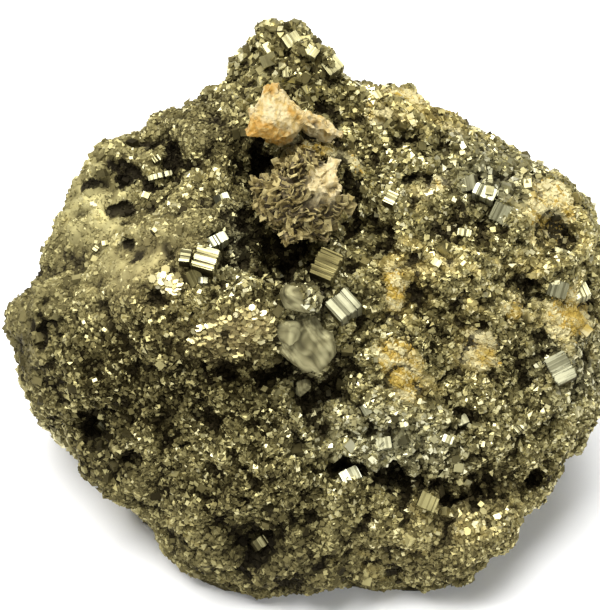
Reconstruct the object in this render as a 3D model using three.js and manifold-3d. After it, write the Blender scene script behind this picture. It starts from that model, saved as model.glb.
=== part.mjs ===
// A pyrite specimen: a fist-sized lump of massive pyrite, covered in small intergrown crystals, with a
// calcite spur and a knob of bladed gangue seated in its show face. Millimetres, +Z up. The lump is
// sawn flat below and rests on the cut, and the origin is the middle of that flat base.
//
// The lump is shaped in a frame of its own show face (across, up, out) and then leaned back.
import * as THREE from 'three';
import { mergeVertices } from 'three/addons/utils/BufferGeometryUtils.js';
import { ImprovedNoise } from 'three/addons/math/ImprovedNoise.js';
import Module from 'manifold-3d';

const wasm = await Module();
wasm.setup();

// ---- driving dimensions, millimetres and degrees ----
const LEAN = 44; // how far the show face leans back from upright
const FACE_HEIGHT = 30.6; // the middle of the show face above the base
const FRONT_DEPTH = 17; // how far the show face bulges out of its rim
const BACK_DEPTH = 42; // how deep the lump goes behind the rim
const BACK_SAG = 0.3; // how much the back sinks for each millimetre behind the rim
const UNDERCUT_HEIGHT = 14; // below this the sides draw in towards the base
const UNDERCUT_SHARE = 0.13; // how far they draw in, as a share of the distance from the middle
const LUMP_DETAIL = 16; // subdivisions of the lump's sphere
const KNOB_DETAIL = 6;
const SPUR_DETAIL = 4;
const SEAT_GAP = 0.3; // between a seated mineral and its socket

// The rim of the show face, anticlockwise from the right: [across, up].
const RIM = [
  [46.2, -1.2], [45.3, 6.8], [42.9, 15], [37.5, 20.8], [30.1, 24.6], [23.9, 27.4], [17.9, 31.8],
  [11.7, 33], [6.9, 34.2], [3.1, 38], [-1.5, 42.4], [-5.7, 41.8], [-9.1, 37.2], [-12.1, 33], [-17.9, 30],
  [-21.7, 30], [-23.7, 26.2], [-29.9, 24], [-34.3, 18.8], [-36.7, 11.8], [-39.1, 5.2], [-44.3, 0.2],
  [-42.7, -8.2], [-39.5, -15.4], [-34.7, -20.8], [-31.5, -27.2], [-24.9, -32], [-20.9, -38.4],
  [-16.1, -45.2], [-8.5, -47.4], [-0.3, -46.2], [7.7, -46], [15.7, -46.4], [24.9, -46.2], [30.9, -39.4],
  [35.3, -31.2], [39.7, -24.2], [44.1, -17.6], [45.7, -9.2],
];

// Relief of the show face: [across, up, half-width, half-height, turn in degrees, height out].
const RELIEF = [
  [-12, -2, 15, 10, 20, 6.5], // the central bulge
  [-20, 8, 13, 4, 35, 3.5], // its upper edge, which climbs to the right
  [-27, 18, 11, 6, 35, -3.5], // the shelf behind that edge
  [-20.5, 21, 3.4, 3, 0, -4], // the pit at the shelf's end
  [-30, 24.5, 8, 2.6, 38, 1.5], // the shelf's rim
  [-41, -6, 4.5, 10, 0, 2.5], // the left lobe
  [-36.8, -3, 1.8, 7, 8, -4.5], // crevice beside the left lobe
  [-6.5, 20, 3, 4.5, 0, -5], // hollow beside the knob
  [2, 37, 5, 6, 0, 3], // the peak
  [20, 28, 9, 4, -25, 2.5], // ridge to the right of the peak
  [28, 10, 15, 12, -20, 3], // the broad right cheek
  [37.5, 10.5, 4.5, 2.6, -15, -5], // hollow in the right cheek
  [9, 13, 2.6, 5, 20, -3.5], // hollow right of the knob
  [41, -9, 5, 6, 0, 2], // swelling at the right edge
  [2.5, -11, 3.5, 4, -10, -3], // valley below the large crystals
  [16, -14, 9, 5, -10, 1.5], // swelling above the lower hollows
  [8, -24, 6, 2.6, -10, -3.8], // the lower hollows
  [27, -26.5, 8, 3, 12, -3], // the shadowed lower right
  [27, -33, 10, 4.5, 15, 1.2], // the lower right foot
  [-10.5, -10, 2.6, 2.2, 0, -3.5], // pit under the central bulge
  [-4.2, -10, 2.4, 2.4, 30, -3], // pit beside it
  [-30, -18, 2, 2.6, 35, -3.5], // rhombic pit at the lower left
  [-24.5, -23.5, 2, 1.8, 0, -2.5], // pit beside it
  [-6.5, -35, 3, 3.4, 20, -3.5], // pit near the foot
  [-14, -27, 8, 6, 0, 1.2], // the lower left slope
];

// Waviness of the whole lump: [wavelength, height, share of it that the rim keeps].
const WAVES = [[17, 3.2, 0.2], [8, 2, 0.4], [4.4, 1.2, 0.7]];

// The deep cavity under the knob: [across, up], half-sizes, and how far its middle lies below the face.
const CAVITY = { at: [-2, 7.4], size: [4.6, 3.5, 6.5], sink: 1.8 };

// Seated minerals: where they sit on the face, half-sizes [across, up, out], turn, and how far they sink.
const KNOB = { at: [0.2, 15.2], size: [6.9, 6.9, 5.4], turn: -18, sink: 0.2, rough: 0.3 };
const SPUR = { at: [-3.4, 27.4], size: [5, 4.3, 4.0], turn: 98, sink: 0, rough: 0.15 };
const SPUR_RIDGE = { at: [2.8, 25.8], size: [4.4, 1.8, 2.6], turn: -26, sink: 0.1, rough: 0.15 };

// Larger crystals grown into the face: [kind, across, up, size, turn, tip, how far out].
const CRYSTALS = [
  ['cube', -13.4, 8.2, 4.4, 12, 28, 1.0], ['cube', -16.4, 7.4, 2.8, 40, 20, 0.6],
  ['cube', 4.3, 5.5, 3.6, 14, 35, 0.8], ['pyritohedron', 1.0, 1.4, 4.6, 10, 20, 1.4],
  ['pyritohedron', -0.8, -4.4, 4.2, 55, 10, 1.2], ['pyritohedron', 2.6, -8.2, 4.6, 30, 35, 1.6],
  ['cube', 6.7, -0.4, 4.2, 35, 30, 0.8], ['cube', 11.6, 17.0, 2.6, 20, 40, 0.5],
  ['cube', 27.5, 17.0, 3.4, 28, 30, 0.6], ['cube', 24.5, 13.5, 2.6, 60, 25, 0.4],
  ['cube', 41.0, -9.6, 4.2, 15, 30, 0.6], ['cube', 43.4, 2.2, 3.4, 35, 35, 0.4],
  ['cube', 7.8, -26.2, 2.8, 25, 30, 1.2], ['cube', 19.2, -29.2, 3.4, 20, 30, 0.8],
  ['pyritohedron', 0.2, 37.2, 3.0, 20, 30, 0.6], ['pyritohedron', 3.8, 34.6, 2.8, 50, 15, 0.4],
];

const COLOURS = { pyrite_mass: 0x9a8f5c, calcite_spur: 0xe2c99a, gangue_knob: 0x9c7f50 };

// ---- shape helpers ----
const noise = new ImprovedNoise();
const radians = THREE.MathUtils.degToRad;
const smooth = THREE.MathUtils.smoothstep;

// Rounded lumps with creases between them, 0 in a crease and about 1 on a lump.
function lumps(point, wavelength) {
  const { x, y, z } = point.clone().divideScalar(wavelength);
  return 2 * Math.abs(noise.noise(x + 9.7, y + 4.1, z + 2.3));
}

// The rim's points by angle about the middle of the show face, with the first one repeated a turn later.
const rimByAngle = RIM.map(([across, up]) => ({
  angle: Math.atan2(up, across),
  radius: Math.hypot(across, up),
})).sort((a, b) => a.angle - b.angle);
rimByAngle.push({ angle: rimByAngle[0].angle + 2 * Math.PI, radius: rimByAngle[0].radius });

// Radius of the rim in the direction of an angle.
function rimRadius(angle) {
  const turned = angle < rimByAngle[0].angle ? angle + 2 * Math.PI : angle;
  const next = rimByAngle.findIndex((point) => point.angle > turned);
  const before = rimByAngle[next - 1];
  const after = rimByAngle[next];
  const share = smooth(turned, before.angle, after.angle);
  return THREE.MathUtils.lerp(before.radius, after.radius, share);
}

// Sum of the named swellings and hollows at a place on the show face.
function relief(across, up) {
  let height = 0;
  for (const [x, y, width, tall, turn, rise] of RELIEF) {
    const angle = radians(turn);
    const along = (across - x) * Math.cos(angle) + (up - y) * Math.sin(angle);
    const over = (up - y) * Math.cos(angle) - (across - x) * Math.sin(angle);
    height += rise * Math.exp(-((along / width) ** 2) - (over / tall) ** 2);
  }
  return height;
}

// The lump's surface in a direction from its middle, in the frame of the show face.
function lumpPoint(direction) {
  const angle = Math.atan2(direction.y, direction.x);
  const reach = rimRadius(angle) * Math.hypot(direction.x, direction.y);
  const point = new THREE.Vector3(reach * Math.cos(angle), reach * Math.sin(angle), 0);
  point.z = direction.z * (direction.z > 0 ? FRONT_DEPTH : BACK_DEPTH);
  const normal = new THREE.Vector3(point.x / 2000, point.y / 2000, direction.z / 20).normalize();
  const offRim = smooth(Math.abs(direction.z), 0, 0.45);
  let wave = 0;
  for (const [wavelength, height, kept] of WAVES) {
    wave += height * (lumps(point, wavelength) - 0.42) * THREE.MathUtils.lerp(kept, 1, offRim);
  }
  point.addScaledVector(normal, wave);
  point.z += relief(point.x, point.y) * smooth(direction.z, -0.05, 0.4);
  if (point.z < 0) point.y += BACK_SAG * point.z;
  return point;
}

// The surface point that stands at about a place on the show face.
function facePoint(across, up) {
  const angle = Math.atan2(up, across);
  const share = Math.min(0.98, Math.hypot(across, up) / rimRadius(angle));
  const level = Math.sqrt(1 - share * share);
  return lumpPoint(new THREE.Vector3(share * Math.cos(angle), share * Math.sin(angle), level));
}

// Unit vector out of the show face at a place, taken over a few millimetres round it.
function faceNormal(across, up) {
  const step = 2.5;
  const alongX = facePoint(across + step, up).sub(facePoint(across - step, up));
  const alongY = facePoint(across, up + step).sub(facePoint(across, up - step));
  return alongX.cross(alongY).normalize();
}

function shapedSphere(detail, shape) {
  const geometry = new THREE.IcosahedronGeometry(1, detail);
  geometry.deleteAttribute('normal');
  geometry.deleteAttribute('uv');
  const sphere = mergeVertices(geometry, 1e-4);
  const places = sphere.getAttribute('position');
  const point = new THREE.Vector3();
  for (let i = 0; i < places.count; i++) {
    point.copy(shape(point.fromBufferAttribute(places, i).normalize()));
    places.setXYZ(i, point.x, point.y, point.z);
  }
  return sphere;
}

// Puts a shape on the show face: stood on the face's normal, turned about it, sunk or raised along it.
function seat(geometry, across, up, turn, raise) {
  const normal = faceNormal(across, up);
  const stand = new THREE.Quaternion().setFromUnitVectors(new THREE.Vector3(0, 0, 1), normal);
  geometry.rotateZ(radians(turn));
  geometry.applyQuaternion(stand);
  return geometry.translate(...facePoint(across, up).addScaledVector(normal, raise).toArray());
}

// From the frame of the show face to the frame of the standing lump.
function leanBack(geometry) {
  geometry.rotateX(radians(LEAN));
  return geometry.translate(0, 0, FACE_HEIGHT);
}

// Draws the lump's sides in towards the base, so that it stands on less than its full outline.
function undercut(geometry) {
  const places = geometry.getAttribute('position');
  for (let i = 0; i < places.count; i++) {
    const low = 1 - smooth(places.getZ(i), -UNDERCUT_HEIGHT, UNDERCUT_HEIGHT);
    const keep = 1 - 2 * UNDERCUT_SHARE * low;
    places.setXY(i, places.getX(i) * keep, places.getY(i) * keep);
  }
  return geometry;
}

function solid(geometry) {
  const bare = geometry.clone();
  bare.deleteAttribute('normal');
  bare.deleteAttribute('uv');
  const merged = mergeVertices(bare, 1e-4);
  const vertProperties = new Float32Array(merged.getAttribute('position').array);
  const triVerts = new Uint32Array(merged.index.array);
  return new wasm.Manifold(new wasm.Mesh({ numProp: 3, vertProperties, triVerts }));
}

function meshOf(name, manifold) {
  const { vertProperties, triVerts } = manifold.getMesh();
  const geometry = new THREE.BufferGeometry();
  geometry.setAttribute('position', new THREE.BufferAttribute(vertProperties, 3));
  geometry.setIndex(new THREE.BufferAttribute(triVerts, 1));
  geometry.computeVertexNormals();
  const metal = name === 'pyrite_mass';
  const material = new THREE.MeshStandardMaterial({
    color: COLOURS[name], roughness: metal ? 0.35 : 0.7, metalness: metal ? 0.9 : 0, flatShading: true,
  });
  const mesh = new THREE.Mesh(geometry, material);
  mesh.name = name;
  return mesh;
}

// ---- the seated minerals ----
// A mineral's solid, swelled by a gap when it is to cut its own socket.
function mineral({ at, size, turn, sink, rough }, detail, shape, gap) {
  const sphere = shapedSphere(detail, (direction) => {
    const swell = 1 + rough * (lumps(direction, 0.45) - 0.4);
    return shape(new THREE.Vector3(...size).multiply(direction).multiplyScalar(swell), direction)
      .addScaledVector(direction, gap);
  });
  return leanBack(seat(sphere, ...at, turn, -sink));
}

const asGrown = (point) => point;

// The spur narrows to a tip that points away from the knob.
function wedge(point, direction) {
  const taper = 1 - 0.5 * smooth(direction.x, -0.3, 1);
  return point.set(point.x, point.y * taper, point.z * (1 - 0.2 * smooth(direction.x, 0, 1)));
}

function spurSolid(gap) {
  const tip = solid(mineral(SPUR, SPUR_DETAIL, wedge, gap));
  return tip.add(solid(mineral(SPUR_RIDGE, SPUR_DETAIL - 1, asGrown, gap)));
}

// ---- the larger crystals ----
function crystal([kind, across, up, size, turn, tip, out]) {
  const shape = kind === 'cube'
    ? new THREE.BoxGeometry(size, size * 0.9, size)
    : new THREE.DodecahedronGeometry(size * 0.62);
  shape.rotateX(radians(tip));
  shape.rotateY(radians(tip * 0.7));
  return leanBack(seat(shape, across, up, turn, out - size * 0.3));
}

// ---- assembly ----
const lump = solid(undercut(leanBack(shapedSphere(LUMP_DETAIL, lumpPoint))));
const belowBase = solid(new THREE.BoxGeometry(200, 200, 60).translate(0, 0, -30));
const cavityBall = shapedSphere(5, (direction) => new THREE.Vector3(...CAVITY.size).multiply(direction));
const cavity = solid(leanBack(seat(cavityBall, ...CAVITY.at, -8, -CAVITY.sink)));

let pyrite = lump.subtract(cavity);
for (const entry of CRYSTALS) pyrite = pyrite.add(solid(crystal(entry)));

const knob = solid(mineral(KNOB, KNOB_DETAIL, asGrown, 0));
const knobSocket = solid(mineral(KNOB, KNOB_DETAIL, asGrown, SEAT_GAP));
const spur = spurSolid(0).subtract(knobSocket);
pyrite = pyrite.subtract(knobSocket).subtract(spurSolid(SEAT_GAP)).subtract(belowBase);

const group = new THREE.Group();
group.add(meshOf('pyrite_mass', pyrite), meshOf('calcite_spur', spur), meshOf('gangue_knob', knob));

// The middle of the whole outline, seen from above, goes to the origin.
const middle = new THREE.Box3().setFromObject(group).getCenter(new THREE.Vector3());
for (const mesh of group.children) mesh.geometry.translate(-middle.x, -middle.y, 0);

export default group;
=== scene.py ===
import math
import random

import bmesh
import bpy
import numpy as np
from mathutils import Euler, Matrix, Vector, noise
from mathutils.bvhtree import BVHTree


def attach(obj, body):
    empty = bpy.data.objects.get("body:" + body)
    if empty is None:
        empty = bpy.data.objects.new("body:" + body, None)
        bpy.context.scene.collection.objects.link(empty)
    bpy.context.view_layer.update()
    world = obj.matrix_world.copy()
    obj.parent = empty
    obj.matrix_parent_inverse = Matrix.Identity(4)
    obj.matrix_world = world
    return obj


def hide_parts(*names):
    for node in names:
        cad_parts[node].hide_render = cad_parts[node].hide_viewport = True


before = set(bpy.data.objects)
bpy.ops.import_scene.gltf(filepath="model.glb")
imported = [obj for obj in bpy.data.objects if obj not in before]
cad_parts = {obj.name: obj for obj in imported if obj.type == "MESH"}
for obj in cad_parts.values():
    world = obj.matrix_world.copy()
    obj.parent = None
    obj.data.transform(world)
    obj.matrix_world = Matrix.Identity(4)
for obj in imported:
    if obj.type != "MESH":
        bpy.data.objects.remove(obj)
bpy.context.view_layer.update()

# ---- the studio -------------------------------------------------------------------------------
# A pale sheet to stand on, a camera that looks down on the show face, one soft light above and
# behind, two weaker ones beside it, and a surround that is pale low down and dark overhead.
MM = 0.001
LEAN = math.radians(44)  # the show face leans back this far from upright
FACE_MIDDLE = (-1.571, -0.833, 30.6)  # middle of the show face, millimetres

CAMERA_RISE = math.pi / 2 - LEAN
CAMERA_DISTANCE = 0.46
VIEW_WIDTH = 0.090  # what the frame takes in across, at the middle of the show face
SENSOR_WIDTH = 36.0
aim = Vector(FACE_MIDDLE) * MM
camera_data = bpy.data.cameras.new("camera")
camera_data.sensor_fit = "HORIZONTAL"
camera_data.sensor_width = SENSOR_WIDTH
camera_data.lens = SENSOR_WIDTH * CAMERA_DISTANCE / VIEW_WIDTH
camera_data.clip_start = 0.01
camera_data.clip_end = 20
camera = bpy.data.objects.new("camera", camera_data)
camera.location = aim + CAMERA_DISTANCE * Vector((0, -math.cos(CAMERA_RISE), math.sin(CAMERA_RISE)))
camera.rotation_euler = (math.pi / 2 - CAMERA_RISE, 0, 0)
bpy.context.scene.collection.objects.link(camera)
bpy.context.scene.camera = camera
bpy.context.scene.view_settings.view_transform = "Standard"


def soft_light(name, place, size, power, colour=(1, 1, 1)):
    """An area light that faces the specimen."""
    data = bpy.data.lights.new(name, "AREA")
    data.shape = "RECTANGLE"
    data.size, data.size_y = size
    data.energy = power
    data.color = colour
    light = bpy.data.objects.new(name, data)
    light.location = place
    light.rotation_euler = (Vector(place) - Vector((0, 0, 0.03))).to_track_quat("Z", "Y").to_euler()
    bpy.context.scene.collection.objects.link(light)


soft_light("light_above", (-0.10, 0.10, 0.80), (0.90, 0.65), 14.5)
soft_light("light_left", (-0.50, -0.10, 0.70), (0.20, 0.20), 2.0, (1, 0.98, 0.95))
soft_light("light_front", (0.35, -0.75, 0.60), (0.50, 0.30), 3.2, (0.97, 0.99, 1))

floor_mesh = bpy.data.meshes.new("floor")
FLOOR_REACH = 0.5
floor_corners = [(FLOOR_REACH * x, FLOOR_REACH * y, 0) for x, y in ((-1, -1), (1, -1), (1, 1), (-1, 1))]
floor_mesh.from_pydata(floor_corners, [], [(0, 1, 2, 3)])
floor = bpy.data.objects.new("floor", floor_mesh)
bpy.context.scene.collection.objects.link(floor)
floor_finish = bpy.data.materials.new("pale_sheet")
floor_finish.use_nodes = True
floor_shader = floor_finish.node_tree.nodes["Principled BSDF"]
floor_shader.inputs["Base Color"].default_value = (0.97, 0.97, 0.97, 1)
floor_shader.inputs["Roughness"].default_value = 0.7
floor_shader.inputs["Specular IOR Level"].default_value = 0.2
floor_mesh.materials.append(floor_finish)


class Wire:
    """A node's output that can be used in a sum: each operator adds one Math node."""

    def __init__(self, graph, socket):
        self.graph, self.socket = graph, socket

    def math(self, operation, first, second):
        return self.graph.node("Math", {"operation": operation}, {0: first, 1: second})

    def __add__(self, other):
        return self.math("ADD", self, other)

    __radd__ = __add__

    def __mul__(self, other):
        return self.math("MULTIPLY", self, other)

    __rmul__ = __mul__

    def __sub__(self, other):
        return self.math("SUBTRACT", self, other)

    def __rsub__(self, other):
        return self.math("SUBTRACT", other, self)

    def __truediv__(self, other):
        return self.math("DIVIDE", self, other)

    def __rtruediv__(self, other):
        return self.math("DIVIDE", other, self)

    def between(self, low, high):
        """0 below low, 1 above high and a smooth rise from one to the other."""
        return self.graph.node("MapRange", {"interpolation_type": "SMOOTHSTEP"},
                               {"Value": self, "From Min": low, "From Max": high})


class Graph:
    """A node tree written as Python: node() adds a node and gives back one of its outputs."""

    def __init__(self, tree, *prefixes):
        self.tree, self.prefixes = tree, prefixes

    def node(self, kind, settings=None, sockets=None, output=0):
        prefix = next(p for p in self.prefixes if hasattr(bpy.types, p + kind))
        node = self.tree.nodes.new(prefix + kind)
        for key, value in (settings or {}).items():
            if key == "stops":
                while len(node.color_ramp.elements) < len(value):
                    node.color_ramp.elements.new(1)
                for stop, (place, colour) in zip(node.color_ramp.elements, value):
                    stop.position, stop.color = place, (*colour, 1)
            else:
                setattr(node, key, value)
        for key, value in (sockets or {}).items():
            socket = self.find(node.inputs, key)
            if isinstance(value, Wire):
                self.tree.links.new(value.socket, socket)
            else:
                socket.default_value = value
        if not node.outputs:
            return None
        return Wire(self, self.find(node.outputs, output))

    def find(self, sockets, key):
        """A socket by its number, or the one in use by its name."""
        if isinstance(key, int):
            return [socket for socket in sockets if socket.enabled][key]
        return next(socket for socket in sockets if socket.enabled and socket.name == key)


world = bpy.data.worlds.new("surround")
bpy.context.scene.world = world
world.use_nodes = True
world.node_tree.nodes.clear()
air = Graph(world.node_tree, "ShaderNode")
direction = air.node("TexCoord", output="Generated")
height = air.node("SeparateXYZ", sockets={0: direction}, output="Z")
glow = air.node("ValToRGB", {"stops": (
    (0.0, (0.75, 0.75, 0.75)), (0.10, (0.42, 0.42, 0.42)), (0.3, (0.15, 0.15, 0.15)),
    (0.7, (0.09, 0.09, 0.09)), (1.0, (0.16, 0.16, 0.16)),
)}, {"Fac": height})
air.node("OutputWorld", sockets={"Surface": air.node("Background", sockets={"Color": glow, "Strength": 1.0})})

# ---- the lump's own surface -------------------------------------------------------------------
# Massive pyrite, one natural piece: rounded lobes with creases between them, deep pits and the
# sockets of the two seated minerals. Its underside is the flat cut that it rests on.
GROUND_VOXEL = 0.535 * MM


def to_face(points):
    """Points in metres to (across, up, out) on the show face, in millimetres."""
    x, y, z = (np.asarray(points) / MM - np.array(FACE_MIDDLE)).T
    return np.stack([x, y * math.cos(LEAN) + z * math.sin(LEAN), z * math.cos(LEAN) - y * math.sin(LEAN)], 1)


def from_face(points):
    """The reverse of to_face."""
    across, up, out = np.atleast_2d(np.asarray(points, float)).T
    y = up * math.cos(LEAN) - out * math.sin(LEAN)
    z = up * math.sin(LEAN) + out * math.cos(LEAN)
    return (np.stack([across, y, z], 1) + np.array(FACE_MIDDLE)) * MM


def ragged(face, reach=1.1, scale=2.6):
    """Places on the face moved about by so many millimetres, so that spots get ragged edges."""
    moved = np.array([noise.noise_vector(Vector((x, y, 0.4 * z)) / scale) for x, y, z in face])
    return face + reach * moved


def patches(face, spots):
    """Sum of soft oval spots: (across, up, half-width, half-height, turn in degrees, strength)."""
    total = np.zeros(len(face))
    for across, up, width, tall, turn, strength in spots:
        angle = math.radians(turn)
        along = (face[:, 0] - across) * math.cos(angle) + (face[:, 1] - up) * math.sin(angle)
        over = (face[:, 1] - up) * math.cos(angle) - (face[:, 0] - across) * math.sin(angle)
        total += strength * np.exp(-((along / width) ** 2) - (over / tall) ** 2)
    return total


# Pits deeper than the lump's own hollows, as spots of so many millimetres.
PITS = (
    (-19.0, 21.0, 2.0, 2.4, 20, 3.0), (-24.5, 19.5, 4.5, 1.3, -30, 2.6), (-6.6, 20.5, 2.0, 3.0, 0, 3.0),
    (6.0, 18.5, 1.4, 3.2, 10, 2.2), (7.4, 11.0, 2.2, 2.4, 0, 2.4), (-11.2, 8.8, 0.9, 1.3, 0, 2.0),
    (-30.6, -17.8, 1.3, 2.0, 35, 3.0), (-24.4, -23.2, 1.3, 1.2, 0, 2.4), (-6.8, -35.2, 1.8, 2.4, 20, 2.8),
    (-10.8, -9.8, 1.9, 1.0, 16, 1.9), (-4.6, -10.2, 2.2, 1.2, 30, 2.0), (2.6, -12.6, 2.4, 1.6, 10, 2.4),
    (5.6, -23.6, 2.6, 1.5, 10, 2.4), (14.4, -25.6, 2.4, 1.3, -6, 2.6), (38.6, 10.4, 3.4, 1.7, -12, 3.2),
    (-31.3, 18.0, 0.8, 0.8, 0, 1.5), (-26.8, 13.2, 1.2, 1.0, 0, 1.6), (-24.4, 8.6, 1.2, 1.4, 0, 1.8),
    (24.4, -28.4, 3.0, 1.0, 10, 1.4), (-37.6, -4.6, 1.2, 4.0, 8, 2.4), (19.6, -27.4, 1.4, 1.0, 0, 1.8),
    (-33.5, -30.0, 1.2, 1.2, 0, 1.0), (34.5, 2.0, 1.4, 1.2, 0, 1.2), (22.0, 6.0, 1.4, 1.0, 30, 1.0),
    (-3.2, 8.4, 4.0, 2.6, 15, 4.6), (-6.8, 11.6, 2.0, 2.4, 0, 3.0),
    (10.8, -23.6, 1.6, 2.4, 0, -1.6), (19.2, -25.4, 1.6, 2.6, 0, -1.8), (27.0, -24.0, 4.0, 1.8, -10, -1.5),
    (33.5, -22.5, 3.0, 2.0, 0, -1.0), (24.5, -28.6, 3.2, 1.3, 10, 1.6), (34.4, -26.2, 2.0, 1.1, 30, 1.6), (8.0, -32.6, 1.2, 0.8, 0, 1.6), (-8.2, -28.2, 0.9, 0.8, 0, 1.5),
    (16.8, 17.9, 1.4, 0.9, 10, 1.8), (-16.6, -20.2, 1.4, 0.9, 0, 1.4), (5.3, 5.6, 3.2, 1.2, 20, 1.6),
)


def finished(obj):
    """The object's evaluated shape as a plain mesh, with its modifiers taken away."""
    bpy.context.view_layer.update()
    shape = bpy.data.meshes.new_from_object(obj.evaluated_get(bpy.context.evaluated_depsgraph_get()))
    obj.modifiers.clear()
    old = obj.data
    obj.data = shape
    if not old.users:
        bpy.data.meshes.remove(old)
    return obj


def placed(name, mesh):
    obj = bpy.data.objects.new(name, mesh)
    bpy.context.scene.collection.objects.link(obj)
    return obj


def welded_copy(name, node):
    """A copy of a CAD node's mesh with its corners joined."""
    shape = bmesh.new()
    shape.from_mesh(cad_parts[node].data)
    bmesh.ops.remove_doubles(shape, verts=shape.verts, dist=0.001 * MM)
    mesh = bpy.data.meshes.new(name)
    shape.to_mesh(mesh)
    shape.free()
    return placed(name, mesh)


def remeshed(obj, voxel):
    modifier = obj.modifiers.new("voxels", "REMESH")
    modifier.mode = "VOXEL"
    modifier.voxel_size = voxel
    return finished(obj)


def coordinates(mesh):
    places = np.zeros(len(mesh.vertices) * 3)
    mesh.vertices.foreach_get("co", places)
    return places.reshape(-1, 3)


def relaxed(mesh, rounds):
    """Vertex places after so many rounds of moving halfway to the middle of their neighbours."""
    places = coordinates(mesh)
    ends = np.zeros(len(mesh.edges) * 2, int)
    mesh.edges.foreach_get("vertices", ends)
    first, second = ends.reshape(-1, 2).T
    size = len(places)
    neighbours = np.bincount(first, minlength=size) + np.bincount(second, minlength=size)
    for _ in range(rounds):
        sums = [np.bincount(first, places[second, k], size) + np.bincount(second, places[first, k], size)
                for k in range(3)]
        places = 0.5 * places + 0.5 * np.stack(sums, 1) / neighbours[:, None]
    return places


def hollowness(mesh, rounds):
    """How far each vertex lies below its relaxed place, in millimetres."""
    normals = np.zeros(len(mesh.vertices) * 3)
    mesh.vertex_normals.foreach_get("vector", normals)
    return ((relaxed(mesh, rounds) - coordinates(mesh)) * normals.reshape(-1, 3)).sum(1) / MM


def set_attribute(mesh, name, values, kind="FLOAT", domain="POINT"):
    mesh.attributes.new(name, kind, domain).data.foreach_set("value", values)


class Growth(Graph):
    """A Geometry Nodes tree with named inputs, run on an object to leave a plain mesh."""

    def __init__(self, name, **inputs):
        super().__init__(bpy.data.node_groups.new(name, "GeometryNodeTree"),
                         "GeometryNode", "FunctionNode", "ShaderNode")
        new_socket = self.tree.interface.new_socket
        new_socket("Geometry", in_out="INPUT", socket_type="NodeSocketGeometry")
        new_socket("Geometry", in_out="OUTPUT", socket_type="NodeSocketGeometry")
        kinds = {float: "Float", int: "Int", bpy.types.Material: "Material"}
        self.inputs, self.identifiers = inputs, {}
        for label, value in inputs.items():
            socket = new_socket(label, in_out="INPUT", socket_type="NodeSocket" + kinds[type(value)])
            self.identifiers[label] = socket.identifier
        self.start = self.tree.nodes.new("NodeGroupInput")

    def given(self, label="Geometry"):
        return Wire(self, self.start.outputs[label])

    def result(self, geometry):
        end = self.tree.nodes.new("NodeGroupOutput")
        self.tree.links.new(geometry.socket, end.inputs[0])

    def scaled(self, vector, factor):
        return self.node("VectorMath", {"operation": "SCALE"}, {0: vector, "Scale": factor})

    def chance(self, kind, low, high, seed):
        """A random value per element."""
        return self.node("RandomValue", {"data_type": kind},
                         {"Min": low, "Max": high, "Seed": self.given("Seed") + seed})

    def grow(self, obj, **changes):
        modifier = obj.modifiers.new(self.tree.name, "NODES")
        modifier.node_group = self.tree
        for label, value in {**self.inputs, **changes}.items():
            modifier[self.identifiers[label]] = value
        return finished(obj)


lobes = Growth("lobes", BroadSize=7.0 * MM, BroadHeight=1.9 * MM, MiddleSize=3.2 * MM, MiddleHeight=1.5 * MM,
               FineSize=1.5 * MM, FineHeight=0.9 * MM, ClearOfBase=1.2 * MM)
position = lobes.node("InputPosition")
wobble = lobes.node("TexNoise", sockets={"Vector": position, "Scale": 260.0, "Detail": 2.0}, output="Color")
bent = lobes.node("VectorMath", {"operation": "MULTIPLY_ADD"},
                  {0: wobble, 1: (1.6 * MM, 1.6 * MM, 1.6 * MM), 2: position})
smooth = lobes.node("InputNamedAttribute", {"data_type": "FLOAT"}, {"Name": "smooth"})
rise = 0.0
for scale, kept in (("Broad", 0.0), ("Middle", 0.45), ("Fine", 0.75)):
    cell = lobes.node("TexVoronoi", sockets={"Vector": bent, "Scale": 1.0 / lobes.given(scale + "Size")},
                      output="Distance")
    rise = (0.38 - cell) * lobes.given(scale + "Height") * (1.0 - smooth * kept) + rise
level = lobes.node("SeparateXYZ", sockets={0: position}, output="Z")
keep = level.between(0.0, lobes.given("ClearOfBase"))
lift = lobes.scaled(lobes.node("InputNormal"), rise * keep)
lobes.result(lobes.node("SetPosition", sockets={"Geometry": lobes.given(), "Offset": lift}))

ground = remeshed(welded_copy("pyrite_ground", "pyrite_mass"), GROUND_VOXEL)
places = coordinates(ground.data)
off_base = np.clip(places[:, 2] / (2 * MM), 0, 1)[:, None]
places += (relaxed(ground.data, 6) - places) * off_base
rounded = patches(to_face(places), ((-45.0, -1.0, 5.0, 6.0, 0, 1.0),))[:, None]
places += (relaxed(ground.data, 70) - places) * off_base * np.clip(rounded, 0, 1)
face = ragged(to_face(places), 1.6, 1.9)
outward = Vector((0, -math.sin(LEAN), math.cos(LEAN)))
places -= (patches(face, PITS) * np.clip(face[:, 2] / 4, 0, 1))[:, None] * off_base * MM * np.array(outward)
places[:, 2] = np.maximum(places[:, 2], 0)
ground.data.vertices.foreach_set("co", places.ravel())
SMOOTHS = (  # where the druse is finest and the lump is least broken
    (-31.0, 15.0, 9.0, 11.0, -20, 1.3), (-41.0, -5.0, 4.2, 10.0, 0, 1.2), (-21.0, 8.0, 13.0, 3.4, 35, 0.9),
    (-26.0, -28.0, 5.0, 10.0, 30, 0.5), (-16.0, 25.0, 6.0, 4.0, 20, 0.8),
)
set_attribute(ground.data, "smooth", np.clip(patches(face, SMOOTHS), 0, 1))
lobes.grow(ground)
ground.data.polygons.foreach_set("use_smooth", np.ones(len(ground.data.polygons), bool))

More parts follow.
